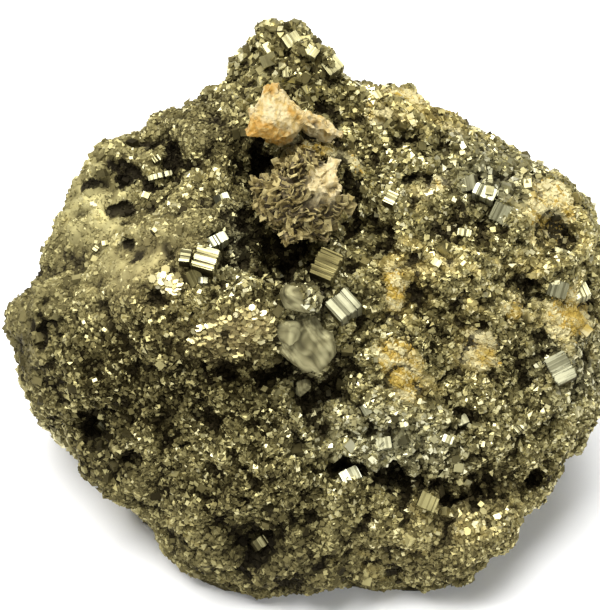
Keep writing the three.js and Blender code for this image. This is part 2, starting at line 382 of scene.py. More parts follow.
# Where the surface changes character: soft spots on the show face.
STAINS = (
    (10.5, 28.0, 5.0, 2.2, -20, 0.6), (16.5, 31.0, 4.5, 1.5, -15, 0.8), (37.0, 14.6, 3.4, 4.6, 10, 1.15),
    (13.4, 2.4, 2.2, 3.0, 8, 0.95), (14.6, -8.0, 3.8, 2.8, -15, 1.3), (15.6, -12.4, 1.8, 2.0, 0, 1.1),
    (26.8, -6.5, 3.4, 3.2, -15, 0.85), (40.0, -1.6, 3.4, 4.4, 30, 1.2), (24.0, 8.0, 13.0, 14.0, -20, 0.22),
    (23.0, 26.0, 3.0, 1.2, -20, 0.6), (1.5, 22.8, 5.2, 1.8, -10, 0.8), (8.2, 20.0, 1.2, 3.8, 20, 0.5),
    (31.0, -1.0, 2.6, 2.0, 30, 0.6), (20.0, 17.0, 2.0, 1.4, 0, 0.4),
)
SILVERS = (
    (-9.4, 8.6, 2.6, 5.0, 0, 0.6), (0.8, -5.0, 4.0, 9.0, 0, 0.6), (13.8, -20.2, 11.0, 5.0, -8, 0.6),
    (28.0, 18.4, 7.0, 4.9, -15, 0.6), (40.0, -9.0, 6.0, 6.0, 0, 0.5),
)
GOLDS = (
    (-10.0, -3.9, 5.0, 3.0, 10, 0.95), (25.5, -32.0, 10.5, 6.0, 15, 0.34), (-22.0, 5.0, 8.0, 7.0, 30, 0.3),
    (-18.6, 3.0, 1.5, 1.2, 0, 0.6), (-5.4, -2.6, 1.6, 1.4, 0, 0.6),
)
COARSE = (
    (-3.0, 37.0, 6.5, 8.0, 0, 1.0), (16.0, 28.0, 14.0, 4.0, -18, 0.5), (-41.0, -6.0, 6.0, 12.0, 0, 0.3),
    (-30.0, 22.0, 8.0, 4.0, 35, 0.4), (0.0, -5.0, 5.0, 8.0, 0, 0.5), (30.0, 17.0, 8.0, 5.0, -15, 0.6),
    (-28.0, -20.0, 6.0, 5.0, -35, 0.4), (-6.8, -35.0, 6.0, 5.0, 0, 0.3), (15.0, -22.0, 9.0, 5.0, -8, 0.5),
    (-10.0, -3.9, 5.0, 3.0, 10, 0.5),
)
OCHRES = (
    (14.0, 2.8, 3.4, 5.0, 10, 0.9), (15.8, -12.0, 3.0, 3.4, 0, 1.0), (26.0, -6.0, 9.0, 7.0, -20, 0.55),
    (21.0, 8.0, 12.0, 9.0, -20, 0.4), (18.0, 29.0, 9.0, 4.0, -20, 0.8), (38.0, 12.0, 6.0, 9.0, 0, 0.7),
    (41.0, -3.0, 5.0, 6.0, 0, 0.8), (3.0, 22.5, 5.0, 3.0, 0, 0.5), (22.0, -33.0, 12.0, 6.0, 15, 0.3),
)
# Painted light and shade, with some of the lump's own tone: spots that lighten faces turned to the light and darken the
# lower bulge, the bottom, the cavities and the ground under the gold flakes.
LIGHT_AND_SHADE_SPOTS = (  # lighter, or darker where negative
    (-31.0, 14.0, 9.0, 11.0, -20, 0.14), (-23.0, -10.0, 15.0, 9.0, 15, -0.26), (-8.0, -12.0, 8.0, 7.0, 0, -0.16),
    (26.0, 15.0, 14.0, 10.0, -20, 0.07), (40.0, 2.0, 7.0, 12.0, 0, 0.12), (-39.0, -6.0, 6.0, 10.0, 0, -0.04),
    (13.0, -17.5, 12.0, 4.5, -8, 0.14), (-10.0, -30.0, 13.0, 7.0, 0, -0.18), (0.0, -42.0, 26.0, 6.0, 0, -0.17), (-9.8, -3.8, 5.4, 3.0, 10, -0.42),
    (-3.0, 8.6, 4.6, 2.6, 10, -0.5), (-7.0, 11.5, 2.4, 2.4, 0, -0.3),
    (26.0, -27.0, 9.0, 3.0, 12, -0.18), (22.0, -5.0, 8.0, 4.0, -25, -0.08), (24.0, -36.0, 9.0, 4.0, 10, -0.06),
    (-3.0, 38.0, 6.0, 7.0, 0, -0.10), (-30.0, -24.0, 6.0, 9.0, 30, -0.12), (-9.0, 21.0, 4.0, 6.0, 0, -0.14),
    (-17.0, 25.0, 5.0, 4.0, 20, -0.08),
)
DULL = (
    (-34.0, 13.0, 9.0, 15.0, -20, 1.0), (-42.0, -8.0, 5.0, 13.0, 0, 1.0), (-5.0, -40.0, 28.0, 8.0, 0, 0.9),
    (-28.0, -30.0, 8.0, 12.0, 30, 0.7), (-21.0, 8.0, 13.0, 4.0, 35, 0.7), (-14.0, 26.0, 8.0, 5.0, 20, 0.6),
)
STREAKY = ((26.0, 0.0, 16.0, 12.0, -20, 1.0), (24.0, 20.0, 14.0, 6.0, -20, 0.4))
face = ragged(to_face(coordinates(ground.data)))
behind = np.clip((2 - face[:, 2]) / 8, 0, 1)
in_front = 1 - behind
# Vertices below their relaxed place count as hollow; the finishes paint them darker: painted shade in creases and pits.
hollow = 0.6 * hollowness(ground.data, 60) + 1.6 * hollowness(ground.data, 8)
set_attribute(ground.data, "stain", np.clip(patches(face, STAINS) * in_front + 0.12 * behind, 0, 1))
set_attribute(ground.data, "silver", np.clip(patches(face, SILVERS) * in_front + 0.2 * behind, 0, 1))
set_attribute(ground.data, "ochre", np.clip(patches(face, OCHRES) * in_front + 0.25 * behind, 0, 1))
set_attribute(ground.data, "shade", patches(face, LIGHT_AND_SHADE_SPOTS) * in_front)
set_attribute(ground.data, "streaky", np.clip(patches(face, STREAKY) * in_front, 0, 1))
set_attribute(ground.data, "gold", np.clip(patches(face, GOLDS) * in_front, 0, 1))
set_attribute(ground.data, "dull", np.clip(patches(face, DULL) * in_front + 0.4 * behind, 0, 1))
set_attribute(ground.data, "coarse", np.clip(patches(face, COARSE) * in_front + 0.5 * behind, 0, 1))
set_attribute(ground.data, "hollow", np.clip(0.2 + hollow / 0.9, 0, 1))
middles = np.zeros(len(ground.data.polygons) * 3)
ground.data.polygons.foreach_get("center", middles)
middles = middles.reshape(-1, 3)
face = to_face(middles)
BACK_ZONE, NO_ZONE = 0, 9
zone = 1 + np.digitize(face[:, 0], np.quantile(face[face[:, 2] > -1, 0], (0.31, 0.55, 0.78)))
zone[face[:, 2] < -1] = BACK_ZONE
zone[middles[:, 2] < 1.4 * MM] = NO_ZONE
set_attribute(ground.data, "zone", zone.astype(np.int32), "INT", "FACE")


class Finish(Graph):
    """A material and its node tree."""

    def __init__(self, name):
        self.material = bpy.data.materials.new(name)
        self.material.use_nodes = True
        super().__init__(self.material.node_tree, "ShaderNode")
        self.tree.nodes.clear()

    def blend(self, share, first, second, way="MIX"):
        """A share of the second colour over the first."""
        return self.node("Mix", {"data_type": "RGBA", "blend_type": way}, {"Factor": share, "A": first, "B": second})

    def attribute(self, name):
        return self.node("Attribute", {"attribute_name": name}, output="Fac")

    def surface(self, sockets):
        shader = self.node("BsdfPrincipled", sockets=sockets)
        self.node("OutputMaterial", sockets={"Surface": shader})
        return self.material


STREAK_TURN = math.radians(-28)  # the streaks run down to the right


def pyrite_finish(name, own_tone, base=0.0):
    """Brassy metal from dark brown to pale, its level mixing the crystals' own tone with painted light and shade;
    own_tone reads each crystal's own tone.
    """
    f = Finish(name)
    place = f.node("TexCoord", output="Object")
    along = Matrix.Rotation(LEAN, 3, "X") @ Matrix.Rotation(STREAK_TURN, 3, "Z")
    drawn = f.node("Mapping", {"vector_type": "TEXTURE"}, {
        "Vector": place, "Rotation": along.to_euler(), "Scale": (4.0, 1.0, 1.0)})
    streak = f.node("TexNoise", sockets={"Vector": drawn, "Scale": 520.0, "Detail": 3.0}, output="Fac")
    blotch = f.node("TexNoise", sockets={"Vector": place, "Scale": 170.0, "Detail": 3.0}, output="Fac")
    fine = f.node("TexNoise", sockets={"Vector": place, "Scale": 1500.0, "Detail": 2.0}, output="Fac")
    # Without crystal tones, as on the lump's own surface, the tone stays low: the bare surface between crystals is
    # painted dark as shade, and lighter where the druse is smooth and sparse.
    tone = f.attribute("tone") if own_tone else fine * 0.3 + f.attribute("smooth") * 0.3
    hollow, dull = f.attribute("hollow"), f.attribute("dull")
    # The level falls in hollows (painted shade) and follows the spots of lighter and darker (painted light and shade).
    level = (tone * (0.9 - dull * 0.45) + dull * 0.13 + (blotch - 0.5) * 0.6 + (streak - 0.5) * f.attribute("streaky") * 1.3
             + f.attribute("shade") - hollow * 0.35 + base)
    brass = f.node("ValToRGB", {"stops": (
        (0.0, (0.024, 0.019, 0.007)), (0.28, (0.17, 0.145, 0.058)), (0.58, (0.42, 0.375, 0.17)),
        (1.0, (0.74, 0.69, 0.43)),
    )}, {"Fac": level})
    grey = f.node("ValToRGB", {"stops": (
        (0.0, (0.026, 0.026, 0.016)), (0.28, (0.15, 0.148, 0.095)), (0.58, (0.38, 0.38, 0.27)),
        (1.0, (0.74, 0.76, 0.64)),
    )}, {"Fac": level})
    gilded = f.blend(f.attribute("gold") * 0.35, f.blend(f.attribute("silver") * 0.8, brass, grey),
                     (0.74, 0.60, 0.27, 1))
    ochre = (f.attribute("ochre") * 0.9 + (blotch - 0.5) * 1.3 + (streak - 0.5) * 1.4).between(0.25, 0.9)
    rusty = f.blend(ochre * 0.75, gilded, f.blend(level, (0.15, 0.105, 0.02, 1), (0.60, 0.48, 0.15, 1)))
    stain = (f.attribute("stain") + (blotch - 0.5) * 0.9 + (streak - 0.5) * 1.0).between(0.38, 0.7)
    crust = f.blend(streak.between(0.42, 0.56), (0.37, 0.25, 0.035, 1), (0.56, 0.50, 0.27, 1))
    crusted = f.blend(stain * 0.8, rusty, crust)
    bump = f.node("Bump", sockets={"Strength": 0.3, "Distance": 0.08 * MM, "Height": fine})
    return f.surface({
        "Specular IOR Level": 0.2,
        # Hollows blend towards near black: painted shade.
        "Base Color": f.blend(hollow.between(0.42, 0.95) * 0.9, crusted, (0.018, 0.014, 0.007, 1)),
        "Metallic": (1.0 - stain * 0.85) * (1.0 - ochre * 0.5) * (1.0 - dull * 0.55),
        "Roughness": 0.64 - level * 0.25 + dull * 0.16 + stain * 0.2, "Normal": bump,
    })


def cell_map(mesh):
    """A map that gives each face a cell of its own, so that no two crystals share a colour."""
    totals = np.zeros(len(mesh.polygons), int)
    mesh.polygons.foreach_get("loop_total", totals)
    side = math.ceil(math.sqrt(len(totals)))
    number = np.repeat(np.arange(len(totals)), totals)
    corner = np.arange(totals.sum()) - np.repeat(np.cumsum(totals) - totals, totals)
    turn = 2 * np.pi * corner / np.repeat(totals, totals)
    spread = 0.5 + 0.3 * np.stack([np.cos(turn), np.sin(turn)], 1)
    cells = np.stack([number % side, number // side], 1)
    layer = mesh.uv_layers.new(name="OFBake")
    layer.data.foreach_set("uv", ((cells + spread) / side).ravel())


def delivered(piece, finish=None, node=None):
    """Gives a finished piece its material, its bake map and its place in the frame."""
    if finish:
        piece.data.materials.clear()
        piece.data.materials.append(finish)
    cell_map(piece.data)
    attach(piece, "root")
    if node:
        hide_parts(node)


delivered(ground, pyrite_finish("pyrite_massive", False), "pyrite_mass")

# ---- the fine druse ---------------------------------------------------------------------------
# Tens of thousands of pyrite crystals, a quarter to three quarters of a millimetre across, grown
# into each other all over the lump: cube corners, whole cubes and low pyramids. Neighbours in a
# patch lie alike, so that whole patches flash together.
druse = Growth("druse", Zone=1, CrystalsPerArea=1.36e7, Edge=0.47 * MM, PatchSize=1.5 * MM, Seed=11,
               CrystalFinish=pyrite_finish("pyrite_druse", True))
coarse = druse.node("InputNamedAttribute", {"data_type": "FLOAT"}, {"Name": "coarse"})
number = druse.node("InputNamedAttribute", {"data_type": "INT"}, {"Name": "zone"})
in_zone = druse.node("Compare", {"data_type": "INT", "operation": "EQUAL"}, {0: number, 1: druse.given("Zone")})
host = druse.node("SeparateGeometry", {"domain": "FACE"}, {"Geometry": druse.given(), "Selection": in_zone})
smooth = druse.node("InputNamedAttribute", {"data_type": "FLOAT"}, {"Name": "smooth"})
gold = druse.node("InputNamedAttribute", {"data_type": "FLOAT"}, {"Name": "gold"})
grain = (1.0 + coarse * 0.7) * (1.0 - smooth * 0.22)
seats = druse.node("DistributePointsOnFaces", sockets={
    "Mesh": host, "Density": druse.given("CrystalsPerArea") * (1.0 - smooth * 0.82) * (1.0 - gold * 0.6) / (grain * grain),
    "Seed": druse.given("Seed")})
normal = Wire(druse, seats.socket.node.outputs["Normal"])
edge = grain * druse.given("Edge") * druse.chance("FLOAT", 0.55, 1.4, 6)
standing = druse.chance("FLOAT", 0.0, 1.0, 1)  # from sunk among its neighbours to standing above them
seats = druse.node("SetPosition", sockets={
    "Geometry": seats, "Offset": druse.scaled(normal, edge * (standing * 0.75 - 0.5 - smooth * 0.12))})
patch = druse.node("TexVoronoi", sockets={
    "Vector": druse.node("InputPosition"), "Scale": 1.0 / druse.given("PatchSize")}, output="Color")
lean = druse.node("VectorMath", {"operation": "MULTIPLY_ADD"}, {0: patch, 1: (1.1,) * 3, 2: (-0.55,) * 3})
stray = druse.chance("FLOAT_VECTOR", (-0.26,) * 3, (0.26,) * 3, 2)
pointing = druse.node("VectorMath", {"operation": "ADD"}, {
    0: normal, 1: druse.node("VectorMath", {"operation": "ADD"}, {0: lean, 1: stray})})
spin = druse.node("CombineXYZ", sockets={
    "Z": druse.node("SeparateXYZ", sockets={0: patch}) * 12.0 + druse.chance("FLOAT", -0.3, 0.3, 3)})
stood = druse.node("AlignRotationToVector", {"axis": "Z"}, {
    "Rotation": druse.node("EulerToRotation", sockets={0: spin}), "Vector": pointing})
stretch = druse.chance("FLOAT_VECTOR", (0.75, 0.75, 0.7), (1.35, 1.35, 1.2), 5)
kinds = druse.node("JoinGeometry")
corner = druse.node("MeshCone", {"fill_type": "NGON"}, {
    "Vertices": 3, "Side Segments": 1, "Fill Segments": 1, "Radius Top": 0.0, "Radius Bottom": 0.95, "Depth": 0.75})
pyramid = druse.node("MeshCone", {"fill_type": "NGON"}, {
    "Vertices": 4, "Side Segments": 1, "Fill Segments": 1, "Radius Top": 0.0, "Radius Bottom": 0.85, "Depth": 0.6})
block = druse.node("MeshCube", sockets={"Size": (1, 1, 0.9)})
for shape in (block, block, pyramid, corner, corner, corner, corner):
    one = druse.node("GeometryToInstance", sockets={0: shape})
    druse.tree.links.new(one.socket, kinds.socket.node.inputs[0])
pick = druse.node("RandomValue", {"data_type": "INT"}, {"Min": 0, "Max": 6, "Seed": druse.given("Seed") + 7})
crystals = druse.node("InstanceOnPoints", sockets={
    "Points": seats, "Instance": kinds, "Pick Instance": True, "Instance Index": pick,
    "Rotation": stood, "Scale": druse.scaled(stretch, edge)})
patch_tone = druse.node("SeparateXYZ", sockets={0: patch}, output="Y")
own = druse.chance("FLOAT", 0.0, 1.0, 8)
# Crystals sunk among their neighbours get a darker tone: painted shade; the rest of the tone differs at random per
# crystal and patch.
toned = druse.node("StoreNamedAttribute", {"data_type": "FLOAT", "domain": "INSTANCE"}, {
    "Geometry": crystals, "Name": "tone",
    "Value": own * own * own * 0.7 + patch_tone * 0.18 + standing * standing * 0.42})
real = druse.node("RealizeInstances", sockets={"Geometry": toned})
flat = druse.node("SetShadeSmooth", sockets={"Geometry": real, "Shade Smooth": False})
druse.result(druse.node("SetMaterial", sockets={"Geometry": flat, "Material": druse.given("CrystalFinish")}))

DRUSE_PIECES = (("druse_back", BACK_ZONE, 4.0e6), ("druse_left", 1, 1.36e7), ("druse_mid_left", 2, 1.36e7),
                ("druse_mid_right", 3, 1.36e7), ("druse_right", 4, 1.36e7))
for name, number, crowding in DRUSE_PIECES:
    piece = placed(name, ground.data.copy())
    druse.grow(piece, Zone=number, CrystalsPerArea=crowding, Edge=(0.7 if number == BACK_ZONE else 0.47) * MM,
               Seed=100 * number + 11)
    delivered(piece)

# ---- the medium crystals ----------------------------------------------------------------------
# Cubes and pyritohedra of about a millimetre that stand out of the fine druse where it grew
# coarsest: on the peak, along the ridges and round the larger crystals.
medium = Growth("medium_crystals", Spacing=0.75 * MM, MostPerArea=1.0e6, Size=0.95 * MM, Seed=5,
                CrystalFinish=pyrite_finish("pyrite_medium", True, -0.02))
coarse = medium.node("InputNamedAttribute", {"data_type": "FLOAT"}, {"Name": "coarse"})
level = medium.node("SeparateXYZ", sockets={0: medium.node("InputPosition")}, output="Z")
seats = medium.node("DistributePointsOnFaces", {"distribute_method": "POISSON"}, {
    "Mesh": medium.given(), "Distance Min": medium.given("Spacing"), "Density Max": medium.given("MostPerArea"),
    "Density Factor": (coarse * 0.9 + 0.07) * level.between(1.0 * MM, 2.0 * MM), "Seed": medium.given("Seed")})
stray = medium.chance("FLOAT_VECTOR", (-math.pi,) * 3, (math.pi,) * 3, 2)
cube = medium.node("MeshCube", sockets={"Size": (0.85, 0.85, 0.85)})
ball = medium.node("MeshIcoSphere", sockets={"Radius": 0.6, "Subdivisions": 1})
twelve_sided = medium.node("DualMesh", sockets={"Mesh": ball})
kinds = medium.node("JoinGeometry")
for shape in (cube, twelve_sided, cube):
    one = medium.node("GeometryToInstance", sockets={0: shape})
    medium.tree.links.new(one.socket, kinds.socket.node.inputs[0])
chance = medium.chance("FLOAT", 0.0, 1.0, 3)
stretch = medium.scaled(medium.chance("FLOAT_VECTOR", (0.8,) * 3, (1.25,) * 3, 4),
                        medium.given("Size") * (chance * chance * 1.1 + 0.6))
crystals = medium.node("InstanceOnPoints", sockets={
    "Points": seats, "Instance": kinds, "Pick Instance": True,
    "Instance Index": medium.node("RandomValue", {"data_type": "INT"},
                                  {"Min": 0, "Max": 2, "Seed": medium.given("Seed") + 7}),
    "Rotation": medium.node("EulerToRotation", sockets={0: stray}), "Scale": stretch})
toned = medium.node("StoreNamedAttribute", {"data_type": "FLOAT", "domain": "INSTANCE"}, {
    "Geometry": crystals, "Name": "tone", "Value": medium.chance("FLOAT", 0.05, 1.0, 8)})
real = medium.node("RealizeInstances", sockets={"Geometry": toned})
flat = medium.node("SetShadeSmooth", sockets={"Geometry": real, "Shade Smooth": False})
medium.result(medium.node("SetMaterial", sockets={"Geometry": flat, "Material": medium.given("CrystalFinish")}))
delivered(medium.grow(placed("medium_crystals", ground.data.copy())))

# ---- the gold flakes --------------------------------------------------------------------------
# Thin six-sided scales of bright pyrite, about a millimetre wide, that lie against the lump like
# shingles in a few patches.
flakes = Growth("gold_flakes", Spacing=0.42 * MM, MostPerArea=4.0e6, Width=0.56 * MM, Seed=9,
                CrystalFinish=pyrite_finish("pyrite_flakes", True, 0.42))
gold = flakes.node("InputNamedAttribute", {"data_type": "FLOAT"}, {"Name": "gold"})
seats = flakes.node("DistributePointsOnFaces", {"distribute_method": "POISSON"}, {
    "Mesh": flakes.given(), "Distance Min": flakes.given("Spacing"), "Density Max": flakes.given("MostPerArea"),
    "Density Factor": gold.between(0.28, 0.5), "Seed": flakes.given("Seed")})
normal = Wire(flakes, seats.socket.node.outputs["Normal"])
seats = flakes.node("SetPosition", sockets={"Geometry": seats, "Offset": flakes.scaled(normal, 0.2 * MM)})
leaning = flakes.node("VectorMath", {"operation": "ADD"}, {0: flakes.scaled(normal, 0.6), 1: (0, -0.4, 1.14)})
pointing = flakes.node("VectorMath", {"operation": "ADD"}, {
    0: leaning, 1: flakes.chance("FLOAT_VECTOR", (-0.5,) * 3, (0.5,) * 3, 2)})
spin = flakes.node("CombineXYZ", sockets={"Z": flakes.chance("FLOAT", 0.0, 6.28, 3)})
stood = flakes.node("AlignRotationToVector", {"axis": "Z"}, {
    "Rotation": flakes.node("EulerToRotation", sockets={0: spin}), "Vector": pointing})
scale = flakes.node("MeshCylinder", {"fill_type": "NGON"}, {
    "Vertices": 6, "Side Segments": 1, "Fill Segments": 1, "Radius": 1.0, "Depth": 0.6})
crystals = flakes.node("InstanceOnPoints", sockets={
    "Points": seats, "Instance": scale, "Rotation": stood,
    "Scale": flakes.scaled(flakes.chance("FLOAT_VECTOR", (0.6, 0.6, 0.7), (1.3, 1.3, 1.3), 4), flakes.given("Width"))})
toned = flakes.node("StoreNamedAttribute", {"data_type": "FLOAT", "domain": "INSTANCE"}, {
    "Geometry": crystals, "Name": "tone", "Value": flakes.chance("FLOAT", 0.0, 1.0, 8)})
real = flakes.node("RealizeInstances", sockets={"Geometry": toned})
flat = flakes.node("SetShadeSmooth", sockets={"Geometry": real, "Shade Smooth": False})
flakes.result(flakes.node("SetMaterial", sockets={"Geometry": flat, "Material": flakes.given("CrystalFinish")}))
delivered(flakes.grow(placed("gold_flakes", ground.data.copy())))

# ---- the striated blocks ----------------------------------------------------------------------
# Single pyrite cubes and plates of one to five millimetres, grown out of the lump. Their faces are
# ruled by steps where thin layers ended, and some are bright enough to flash white.
FLASH_TILT = 24  # a face tilted up by so many degrees sends the light from above to the viewer


def lit(spin, away=0):
    """Turns, in degrees, that leave a block's top face at the flashing tilt whatever its spin."""
    tilt, spun = math.sin(math.radians(FLASH_TILT)), math.radians(spin)
    back = -math.asin(tilt * math.cos(spun))
    aside = math.asin(tilt * math.sin(spun) / math.cos(back))
    return math.degrees(back) + away, math.degrees(aside) + away, spin


# Each: across, up, (length, width, height), turns in degrees, lift, tone, silver.
BLOCKS = (
    (-14.0, 6.4, (3.4, 3.5, 3.2), lit(72), 1.3, 0.72, 0.3),
    (-13.0, 9.0, (4.6, 1.7, 2.2), lit(28), 1.6, 0.85, 1.0),
    (-17.0, 7.0, (2.0, 1.6, 1.9), lit(80), 1.0, 0.7, 0.5),
    (-16.0, 4.1, (2.2, 2.4, 2.0), (12, 20, 30), 0.6, 0.35, 0.0),
    (-14.4, 3.5, (1.3, 1.0, 1.0), lit(0), 0.8, 0.8, 0.8),
    (-11.8, 15.8, (2.3, 1.4, 1.6), (-22, 10, 20), 0.7, 0.6, 1.0),
    (4.0, 5.6, (4.3, 3.8, 3.8), (-10, 16, 64), 1.9, 0.3, 0.0),
    (6.5, -0.5, (4.0, 3.9, 3.2), (-18, 12, 38), 0.9, 0.45, 1.0),
    (27.8, 16.6, (3.3, 2.1, 2.4), lit(-22), 1.0, 0.8, 0.9),
    (25.3, 18.3, (2.9, 2.3, 2.0), (-4, -20, 12), 0.7, 0.5, 0.8),
    (30.2, 13.9, (3.3, 3.0, 2.4), (4, 14, -25), 0.6, 0.5, 0.8),
    (24.7, 10.7, (2.0, 1.2, 1.3), lit(-10, 4), 0.7, 0.75, 0.4),
    (13.6, 15.8, (2.0, 1.8, 1.6), lit(60), 0.9, 0.7, 0.4),
    (39.5, 7.8, (2.3, 1.4, 1.6), lit(-20, 3), 0.8, 0.6, 0.5),
    (42.9, 1.9, (2.3, 2.4, 2.0), lit(20), 0.9, 0.75, 0.5),
    (38.9, 2.5, (3.0, 2.5, 2.2), (2, 12, -15), 0.6, 0.5, 0.8),
    (39.6, -9.8, (4.4, 3.4, 2.2), lit(-62, 7), 0.8, 0.45, 1.0),
    (7.7, -26.1, (2.8, 2.3, 2.0), (-22, 6, 25), 1.4, 0.8, 1.0),
    (19.2, -29.9, (2.8, 2.4, 2.0), (-14, 6, -25), 0.8, 0.5, 0.0),
    (15.7, -18.1, (1.3, 0.9, 1.0), lit(10, -3), 0.8, 0.8, 0.7),
    (22.3, -20.4, (1.6, 1.3, 1.1), lit(-20), 0.8, 0.7, 0.7),
    (-22.0, 22.2, (1.1, 1.0, 0.9), lit(30, 4), 0.7, 0.7, 0.3),
    (-23.5, 16.6, (1.1, 1.0, 0.9), lit(-20), 0.6, 0.7, 0.3),
    (-29.7, 9.3, (0.9, 0.8, 0.8), lit(10, -4), 0.5, 0.7, 0.2),
    (-31.2, 8.5, (0.8, 0.8, 0.7), lit(50), 0.5, 0.6, 0.2),
    (-21.8, 11.1, (0.9, 0.8, 0.8), lit(40, 3), 0.5, 0.7, 0.2),
    (-21.3, 19.6, (3.6, 0.8, 1.8), (-12, 0, 14), 1.2, 0.7, 0.6),
    (-30.4, -18.3, (2.4, 1.7, 1.6), (16, 20, 50), 1.4, 0.65, 0.4),
    (-6.4, -36.4, (2.3, 1.7, 1.8), (10, 12, 35), 1.4, 0.65, 0.3),
    (-1.4, 40.2, (2.6, 2.2, 2.2), (-12, 20, 30), 0.7, 0.55, 0.4),
    (1.8, 38.2, (1.9, 1.7, 1.7), lit(-30), 0.7, 0.6, 0.4),
    (-4.6, 37.6, (2.4, 1.9, 2.0), (6, -16, 20), 0.6, 0.45, 0.2),
    (-1.8, 35.2, (2.0, 1.8, 1.8), (-20, 10, 0), 0.6, 0.55, 0.4),
    (4.9, 36.2, (2.7, 2.4, 2.4), (-10, 14, 35), 0.7, 0.5, 0.4),
    (11.5, 31.6, (1.9, 1.6, 1.6), (-20, 4, 30), 0.6, 0.5, 0.2),
    (33.5, -18.5, (1.8, 1.4, 1.4), (-22, 0, 40), 0.6, 0.6, 0.5),
    (20.4, 6.2, (1.4, 1.2, 1.2), lit(-30, 4), 0.6, 0.6, 0.2),
    (10.0, -15.6, (1.9, 1.6, 1.6), (0, 14, 30), 0.6, 0.55, 0.9),
    (12.8, -21.0, (2.2, 1.9, 1.8), (-16, -10, 12), 0.6, 0.55, 0.9),
    (24.6, -17.6, (1.7, 1.5, 1.4), (-20, 6, 24), 0.6, 0.55, 0.8),
)
landing = BVHTree.FromObject(ground, bpy.context.evaluated_depsgraph_get())


NEARER = 0.965  # the front of the lump is this much nearer than the rim that the places were set out by


def seat(across, up, lift, turns=(0, 0, 0), on=landing, spread=NEARER):
    """Stands something on a surface: its place on the show face, its lift and turns."""
    hit = on.ray_cast(Vector(from_face([[across * spread, up * spread, 60]])[0]), -outward)[0]
    turned = Matrix.Rotation(LEAN, 4, "X") @ Euler([math.radians(angle) for angle in turns]).to_matrix().to_4x4()
    return Matrix.Translation(hit + outward * lift * MM) @ turned


def add_hull(shape, corners, place):
    """Adds the smallest body without hollows round some corners, in millimetres; gives its faces."""
    old = set(shape.faces)
    points = [shape.verts.new(place @ (Vector(corner) * MM)) for corner in corners]
    made = bmesh.ops.convex_hull(shape, input=points)
    inside = {part for part in made["geom_interior"] + made["geom_unused"] if isinstance(part, bmesh.types.BMVert)}
    bmesh.ops.delete(shape, geom=list(inside), context="VERTS")
    return [face for face in shape.faces if face not in old]


SECTION = ((-0.96, -1), (0.97, -1), (1, -0.96), (1, 0.93), (0.95, 1), (-0.93, 1), (-1, 0.95), (-1, -0.96))


def add_layered(shape, place, size, chance, band=0.24, depth=0.10, twist=0.10):
    """Adds a block of thin layers, each a little wider or narrower than the last and turned from it."""
    length, width, height = size
    rings, at = [], -length / 2
    while at < length / 2:
        end = min(at + chance.uniform(0.3, 1.7) * band, length / 2)
        near_end = min(1, 0.86 + 2.4 * (0.5 - abs(at + end) / 2 / length))
        inset = near_end * (1 - depth * chance.random() ** 2)
        turn = chance.uniform(-twist, twist) * chance.random()
        rings += [(at, inset, turn), (end, inset, turn)]
        at = end
    corners = []
    for at, inset, turn in rings:
        ring = [Matrix.Rotation(turn, 3, "X") @ Vector((at, y * width * inset / 2, z * height * inset / 2))
                for y, z in SECTION]
        corners.append([shape.verts.new(place @ (corner * MM)) for corner in ring])
    faces = [shape.faces.new(corners[0]), shape.faces.new(reversed(corners[-1]))]
    for near, far in zip(corners, corners[1:]):
        for k in range(len(SECTION)):
            after = (k + 1) % len(SECTION)
            faces.append(shape.faces.new((near[k], far[k], far[after], near[after])))
    bmesh.ops.recalc_face_normals(shape, faces=faces)
    return faces


def plain_mesh(name, shape):
    mesh = bpy.data.meshes.new(name)
    shape.to_mesh(mesh)
    shape.free()
    return placed(name, mesh)


chance = random.Random(4)
shape = bmesh.new()
tones, silvers = shape.faces.layers.float.new("tone"), shape.faces.layers.float.new("silver")
for across, up, size, turns, lift, tone, silver in BLOCKS:
    faces = add_layered(shape, seat(across, up, lift - size[2] * 0.42, turns), size, chance)
    for first in range(2, len(faces), 2 * len(SECTION)):
        own = tone - (0.75 if tone > 0.55 else 0.3) * chance.random() ** 2
        for face in faces[first:first + 2 * len(SECTION)]:
            face[tones], face[silvers] = own, silver
delivered(plain_mesh("striated_blocks", shape), pyrite_finish("pyrite_blocks", True, 0.05))

# ---- the grey-green cluster -------------------------------------------------------------------
# Large crystals with rounded faces, grown through each other down the middle of the show face,
# duller and greener than the rest and swept by shallow curved grooves.
CLUSTER = (  # across, up, (width, length, height), turns, lift
    (0.3, 1.4, (7.0, 5.4, 6.4), (-8, 6, 10), 0.5), (0.7, -5.4, (8.8, 9.8, 8.0), (-6, 4, 14), 1.9),
    (3.0, -7.2, (4.8, 7.6, 6.4), (2, 16, -14), 2.1), (-1.8, -3.8, (5.0, 6.0, 5.6), (-8, -14, 25), 1.9),
    (0.4, -12.4, (3.0, 3.6, 3.2), (0, 20, 15), 1.2),
)
CLUSTER_VOXEL = 0.17 * MM
GROOVE_SPACING, GROOVE_DEPTH = 0.8, 0.08  # millimetres

